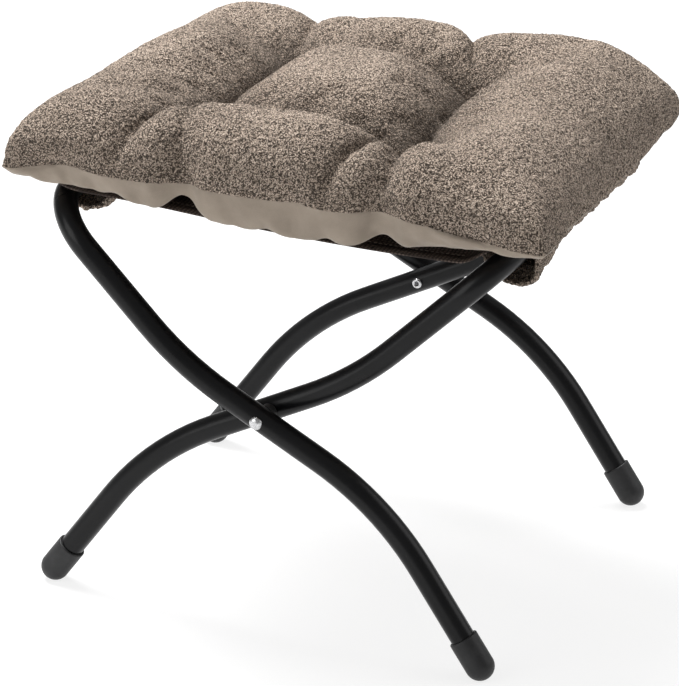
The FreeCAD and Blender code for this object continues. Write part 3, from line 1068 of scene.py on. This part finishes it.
    def divide_top(self, cushion: bpy.types.Object) -> None:
        """Divide the boucle faces once more for the pile."""
        make_active(cushion)
        bpy.ops.object.mode_set(mode="EDIT")
        bpy.ops.mesh.select_all(action="DESELECT")
        bpy.ops.object.mode_set(mode="OBJECT")
        for face in cushion.data.polygons:
            face.select = face.material_index == Layer.OUTSIDE.value
        bpy.ops.object.mode_set(mode="EDIT")
        bpy.ops.mesh.subdivide(number_cuts=1, smoothness=0.0)
        bpy.ops.object.mode_set(mode="OBJECT")

    def pile_weights(self, cushion: bpy.types.Object) -> Array:
        """Weights of the points that carry pile: all of the boucle faces."""
        weights = np.zeros(len(cushion.data.vertices))
        for face in cushion.data.polygons:
            if face.material_index == Layer.OUTSIDE.value:
                weights[list(face.vertices)] = 1.0
        return weights

    def place(self, cushion: bpy.types.Object) -> None:
        """Hide the CAD nodes that the cushion stands for and bake its placement."""
        halves = ("top_cover", "lining", "filling", "tuft_ties")
        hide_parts(*[f"{side}_{half}" for side in ("left", "right") for half in halves])
        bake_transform(cushion)


@dataclass
class Sling:
    """Woven panel between the bars with folded, stitched hems on its free edges."""

    columns: int = 120
    rows: int = 60
    half_length: float = 0.2018
    bar_x: float = 0.1870
    left_half: float = 0.1870
    right_half: float = 0.1660
    under_z: float = 0.3494
    corner: float = 0.0480
    thickness: float = 0.0011
    hem_width: float = 0.0130
    hem_gap: float = 0.0002
    droop: float = 0.0150
    droop_grows: Pair = (-0.1600, 0.1500)
    droop_ends: Pair = (0.1500, 0.1860)
    loose_edge: Pair = (0.1050, 0.1850)
    loose_widening: float = 0.0200
    middle_share: float = 0.25
    middle_x: float = -0.0200
    middle_width: float = 0.1200
    stitch_pitch: float = 0.0042
    stitch_length: float = 0.0029
    stitch_radius: float = 0.0004
    stitch_inset: float = 0.0018

    def half_width(self, x: Array) -> Array:
        """Half width at x of the tapering panel with its round corners."""
        share = (x + self.bar_x) / (2 * self.bar_x)
        taper = self.left_half + share * (self.right_half - self.left_half)
        past = np.clip(np.abs(x) - (self.half_length - self.corner), 0.0, self.corner)
        return taper - self.corner + np.sqrt(self.corner**2 - past**2)

    def sag(self, x: Array, y: Array) -> Array:
        """How far the panel's free edges hang down at a place."""
        toward = smooth_step(*self.droop_grows, x) * (1 - smooth_step(*self.droop_ends, x))
        loose = smooth_step(*self.loose_edge, np.abs(y) + self.loose_widening * toward)
        middle = self.middle_share * bell(x - self.middle_x, self.middle_width)
        return self.droop * (middle + toward) * loose

    def build(self, finishes: Finishes) -> tuple[bpy.types.Object, bpy.types.Object]:
        """Model the panel and its stitches.

        Args:
            finishes: the materials.

        Returns:
            The panel and the stitches.
        """
        panel = add_grid("sling", self.columns, self.rows)
        grid = points_of(panel)
        x = grid[:, 0] * self.half_length
        y = grid[:, 1] * self.half_width(x)
        move_points(panel, np.column_stack([x, y, self.under_z - self.sag(x, y)]))
        self.fold_hems(panel)
        apply_modifier(panel, "SOLIDIFY", thickness=self.thickness, offset=1.0, use_even_offset=False)
        shade_smooth(panel)
        dress(panel, finishes.sling)
        stitches = self.stitch_rows()
        dress(stitches, finishes.thread)
        return panel, stitches

    def fold_hems(self, panel: bpy.types.Object) -> None:
        """Extrude the two free edges up and back over the panel."""
        fold_height = self.thickness + self.hem_gap
        for facing in (-1, 1):
            make_active(panel)
            bpy.ops.object.mode_set(mode="EDIT")
            bpy.ops.mesh.select_all(action="DESELECT")
            bpy.ops.mesh.select_mode(type="EDGE")
            bpy.ops.object.mode_set(mode="OBJECT")
            points = points_of(panel)
            limit = self.half_width(points[:, 0]) - 1e-5
            at_edge = facing * points[:, 1] > limit
            for edge in panel.data.edges:
                edge.select = bool(at_edge[edge.vertices[0]] and at_edge[edge.vertices[1]])
            bpy.ops.object.mode_set(mode="EDIT")
            bpy.ops.mesh.extrude_region_move(TRANSFORM_OT_translate={"value": (0, 0, fold_height)})
            bpy.ops.mesh.extrude_region_move(
                TRANSFORM_OT_translate={"value": (0, -facing * self.hem_width, 0)}
            )
            bpy.ops.object.mode_set(mode="OBJECT")
            points = points_of(panel)
            chosen = np.array([vertex.select for vertex in panel.data.vertices])
            x, y = points[chosen, 0], points[chosen, 1]
            points[chosen, 2] = self.under_z - self.sag(x, y) + fold_height
            move_points(panel, points)

    def stitch_rows(self) -> bpy.types.Object:
        """One row of stitches along each hem, copied from one rounded stitch.

        Returns:
            The joined stitches.
        """
        deselect_all()
        bpy.ops.mesh.primitive_uv_sphere_add(segments=8, ring_count=5, radius=1.0)
        stitch = bpy.context.active_object
        stitch.name = "sling_stitches"
        shape = points_of(stitch)
        shape *= (self.stitch_length / 2, self.stitch_radius, self.stitch_radius)
        straight = self.half_length - self.corner
        count = int(2 * straight / self.stitch_pitch)
        places = self.stitch_pitch * (0.5 + np.arange(count)) - straight
        copies = []
        for facing in (-1, 1):
            for x in places:
                y = facing * (self.half_width(x) - self.hem_width + self.stitch_inset)
                top = self.under_z + 2 * self.thickness + self.hem_gap
                z = top - float(self.sag(np.array([x]), np.array([y]))[0])
                copy = stitch if not copies else self.copy_of(stitch)
                move_points(copy, shape + (x, y, z))
                copies.append(copy)
        deselect_all()
        for copy in copies:
            copy.select_set(True)
        bpy.context.view_layer.objects.active = stitch
        bpy.ops.object.join()
        shade_smooth(stitch)
        return stitch

    @staticmethod
    def copy_of(piece: bpy.types.Object) -> bpy.types.Object:
        """Copy of a piece with its own mesh."""
        copy = piece.copy()
        copy.data = piece.data.copy()
        bpy.context.collection.objects.link(copy)
        return copy

    def place(self, panel: bpy.types.Object, stitches: bpy.types.Object) -> None:
        """Hide the CAD nodes that the panel stands for and bake the placement of the panel and its
        stitches.
        """
        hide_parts("left_sling", "right_sling", "left_sling_hems", "right_sling_hems")
        for piece in (panel, stitches):
            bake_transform(piece)


@dataclass
class BarSleeve:
    """Loose boucle loop round one top bar, sewn to the underside of the sling."""

    name: str
    side: Side
    body: str
    half_width: float
    hang: float
    roof_z: float
    bar_x: float = 0.1870
    bar_z: float = 0.3390
    outside: float = 0.0148
    belly: float = 0.0200
    seam: float = 0.0440
    tab: float = 0.0100
    snug_hang: float = 0.0140
    loose_share: float = 0.18
    loose_span: Pair = (0.35, 0.95)
    side_rise: float = 0.0160
    foot_round: float = 0.0040
    end_draw: float = 0.0040
    end_ripple: float = 0.0022
    ripple_rate: float = 31.0
    ripple_start: float = 2.0
    wave_height: float = 0.0016
    wave_rate: float = 23.0
    thickness: float = 0.0026
    columns: int = 44
    rows: int = 90
    pile: PileCloth = field(
        default_factory=lambda: PileCloth(nub=0.0034, nub_height=0.0016, lump_height=0.0008)
    )

    def build(self, finishes: Finishes) -> bpy.types.Object:
        """Model and dress the sleeve.

        Args:
            finishes: the materials.

        Returns:
            The finished sleeve.
        """
        sleeve = add_grid(self.name, self.columns, self.rows)
        grid = points_of(sleeve)
        across, along, sign = grid[:, 0], grid[:, 1], self.side.value
        offset, height = self.profile((across + 1) / 2)
        low = (self.roof_z - height) / (self.roof_z - self.bar_z + self.hang)
        loose = smooth_step(*self.loose_span, -along)
        height = height + low * (self.hang - self.snug_hang) * (1 - loose)
        end = np.abs(along) ** 6 * low
        ripple = self.end_ripple * np.sin(self.ripple_rate * across + self.ripple_start * sign) * end
        y = along * self.half_width + np.sign(along) * ripple - along * self.end_draw * end
        height = height + self.wave_height * low * np.sin(self.wave_rate * along + sign)
        move_points(sleeve, np.column_stack([sign * (self.bar_x - offset), y, height]))
        edit_whole(sleeve, bpy.ops.mesh.normals_make_consistent, inside=False)
        self.face_outwards(sleeve)
        subdivide_smooth(sleeve, 1)
        weigh(sleeve, "pile_area", np.ones(len(sleeve.data.vertices)))
        apply_modifier(sleeve, "SOLIDIFY", thickness=self.thickness, offset=-1.0)
        self.pile.raise_on(sleeve, "pile_area")
        shade_smooth(sleeve)
        dress(sleeve, finishes.boucle)
        return sleeve

    def profile(self, share: Array) -> tuple[Array, Array]:
        """The loop's outer line in section, from the sling's end round to the seam.

        Args:
            share: place along the line, 0 to 1.

        Returns:
            Offset inboard from the bar's axis, and height.
        """
        low = self.bar_z - self.hang
        route = [
            (-self.outside, self.roof_z),
            (-self.outside, low + self.side_rise),
            (-self.outside + self.foot_round, low + self.foot_round),
            (self.foot_round, low),
            (self.belly, low + self.foot_round),
            (self.seam, self.roof_z - self.thickness),
            (self.seam + self.tab, self.roof_z - self.thickness),
        ]
        corners = np.array(route)
        steps = np.linalg.norm(np.diff(corners, axis=0), axis=1)
        at = np.concatenate([[0.0], np.cumsum(steps)]) / steps.sum()
        return np.interp(share, at, corners[:, 0]), np.interp(share, at, corners[:, 1])

    def face_outwards(self, sleeve: bpy.types.Object) -> None:
        """Turn the faces so that the lowest ones look down."""
        lowest = min(sleeve.data.polygons, key=lambda face: face.center.z)
        if lowest.normal.z > 0:
            edit_whole(sleeve, bpy.ops.mesh.flip_normals)

    def place(self, sleeve: bpy.types.Object) -> None:
        """Hide the CAD node that the sleeve stands for and attach the sleeve to the body that it
        moves with.
        """
        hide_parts(self.name.replace("sleeve_cloth", "bar_sleeve"))
        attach(sleeve, self.body)


@dataclass(frozen=True)
class Lamp:
    """A soft square lamp: its name, place, edge and watts."""

    name: str
    place: Triple
    size: float
    power: float


@dataclass
class Studio:
    """Pale floor, soft lamps and the camera."""

    camera_place: Triple = (1.08464, -2.81197, 1.34084)
    azimuth: float = 21.278
    elevation: float = 20.993
    roll: float = 1.832
    lens: float = 203.46
    sensor: float = 36.0
    far_clip: float = 50.0
    floor_size: float = 14.0
    floor_grey: float = 0.8
    shadow_grey: float = 0.25
    floor_glow: float = 0.8
    sky: float = 0.3
    lamp_aim: Triple = (0.0, 0.0, 0.28)
    lamps: tuple[Lamp, ...] = (
        Lamp("key_lamp", (-1.0, 0.6, 2.45), 1.4, 134.0),
        Lamp("fill_lamp", (-1.4, -2.2, 1.2), 1.8, 22.0),
        Lamp("back_lamp", (1.9, 0.6, 1.4), 1.6, 12.0),
    )

    def build(self) -> None:
        """Set up the whole studio."""
        self.add_camera()
        self.add_floor()
        self.add_world()
        for lamp in self.lamps:
            self.add_lamp(lamp)
        bpy.context.scene.view_settings.view_transform = "Standard"

    def add_camera(self) -> None:
        """Camera at the photograph's place, with its tilt."""
        turn, lift, roll = (math.radians(a) for a in (self.azimuth, self.elevation, self.roll))
        back = Vector(
            (math.sin(turn) * math.cos(lift), -math.cos(turn) * math.cos(lift), math.sin(lift))
        )
        right = Vector((math.cos(turn), math.sin(turn), 0.0))
        up = back.cross(right)
        x_axis = right * math.cos(roll) + up * math.sin(roll)
        y_axis = up * math.cos(roll) - right * math.sin(roll)
        data = bpy.data.cameras.new("camera")
        data.sensor_fit = "VERTICAL"
        data.sensor_height = self.sensor
        data.lens = self.lens
        data.clip_end = self.far_clip
        camera = bpy.data.objects.new("camera", data)
        bpy.context.collection.objects.link(camera)
        turned = Matrix((x_axis, y_axis, back)).transposed().to_4x4()
        camera.matrix_world = Matrix.Translation(self.camera_place) @ turned
        bpy.context.scene.camera = camera

    def add_floor(self) -> None:
        """Wide pale floor that looks white to the camera and keeps a soft shadow."""
        deselect_all()
        bpy.ops.mesh.primitive_plane_add(size=self.floor_size)
        floor = bpy.context.active_object
        floor.name = "floor"
        material = bpy.data.materials.new("pale_floor")
        material.use_nodes = True
        tree = material.node_tree
        output = tree.nodes["Material Output"]
        plain = tree.nodes.new("ShaderNodeBsdfDiffuse")
        plain.inputs["Color"].default_value = (*[self.floor_grey] * 3, 1.0)
        faint = tree.nodes.new("ShaderNodeBsdfDiffuse")
        faint.inputs["Color"].default_value = (*[self.shadow_grey] * 3, 1.0)
        glow = tree.nodes.new("ShaderNodeEmission")
        glow.inputs["Strength"].default_value = self.floor_glow
        shadowed = tree.nodes.new("ShaderNodeAddShader")
        seen = tree.nodes.new("ShaderNodeMixShader")
        path = tree.nodes.new("ShaderNodeLightPath")
        shown = tree.nodes.new("ShaderNodeMath")
        shown.operation = "MAXIMUM"
        tree.links.new(path.outputs["Is Camera Ray"], shown.inputs[0])
        tree.links.new(path.outputs["Is Glossy Ray"], shown.inputs[1])
        tree.links.new(faint.outputs["BSDF"], shadowed.inputs[0])
        tree.links.new(glow.outputs["Emission"], shadowed.inputs[1])
        tree.links.new(shown.outputs["Value"], seen.inputs["Fac"])
        tree.links.new(plain.outputs["BSDF"], seen.inputs[1])
        tree.links.new(shadowed.outputs["Shader"], seen.inputs[2])
        tree.links.new(seen.outputs["Shader"], output.inputs["Surface"])
        dress(floor, material)

    def add_world(self) -> None:
        """Even grey light from all round, white to the camera."""
        world = bpy.data.worlds.new("studio")
        bpy.context.scene.world = world
        world.use_nodes = True
        tree = world.node_tree
        light = tree.nodes["Background"]
        light.inputs["Color"].default_value = WHITE
        light.inputs["Strength"].default_value = self.sky
        white = tree.nodes.new("ShaderNodeBackground")
        white.inputs["Color"].default_value = WHITE
        seen = tree.nodes.new("ShaderNodeMixShader")
        path = tree.nodes.new("ShaderNodeLightPath")
        tree.links.new(path.outputs["Is Camera Ray"], seen.inputs["Fac"])
        tree.links.new(light.outputs["Background"], seen.inputs[1])
        tree.links.new(white.outputs["Background"], seen.inputs[2])
        tree.links.new(seen.outputs["Shader"], tree.nodes["World Output"].inputs["Surface"])

    def add_lamp(self, lamp: Lamp) -> None:
        """Hang one lamp so that it faces the seat."""
        data = bpy.data.lights.new(lamp.name, "AREA")
        data.size = lamp.size
        data.energy = lamp.power
        hung = bpy.data.objects.new(lamp.name, data)
        bpy.context.collection.objects.link(hung)
        aim = Vector(self.lamp_aim) - Vector(lamp.place)
        turned = aim.to_track_quat("-Z", "Y").to_matrix().to_4x4()
        hung.matrix_world = Matrix.Translation(lamp.place) @ turned


def main() -> None:
    """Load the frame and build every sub-assembly in order."""
    logging.basicConfig(level=logging.INFO, format="%(name)s: %(message)s")
    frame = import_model()
    Studio().build()
    finishes = Finishes()
    for name in TubeFrames().dress_nodes(frame["nodes"], finishes):
        LOG.info("dressed %s", name)
    sling = Sling()
    panel, stitches = sling.build(finishes)
    sling.place(panel, stitches)
    LOG.info("built %s and %s", panel.name, stitches.name)
    sleeves = (
        BarSleeve(
            name="left_sleeve_cloth",
            side=Side.LEFT,
            body="seat_left",
            half_width=0.139,
            hang=0.0255,
            roof_z=0.3491,
        ),
        BarSleeve(
            name="right_sleeve_cloth",
            side=Side.RIGHT,
            body="right_sleeve",
            half_width=0.129,
            hang=0.0325,
            roof_z=0.3489,
        ),
    )
    for sleeve in sleeves:
        cloth = sleeve.build(finishes)
        sleeve.place(cloth)
        LOG.info("built %s", cloth.name)
    cushion = Cushion(sling)
    body = cushion.build(finishes)
    cushion.place(body)
    LOG.info("built %s with %d faces", body.name, len(body.data.polygons))


if __name__ == "__main__":
    main()
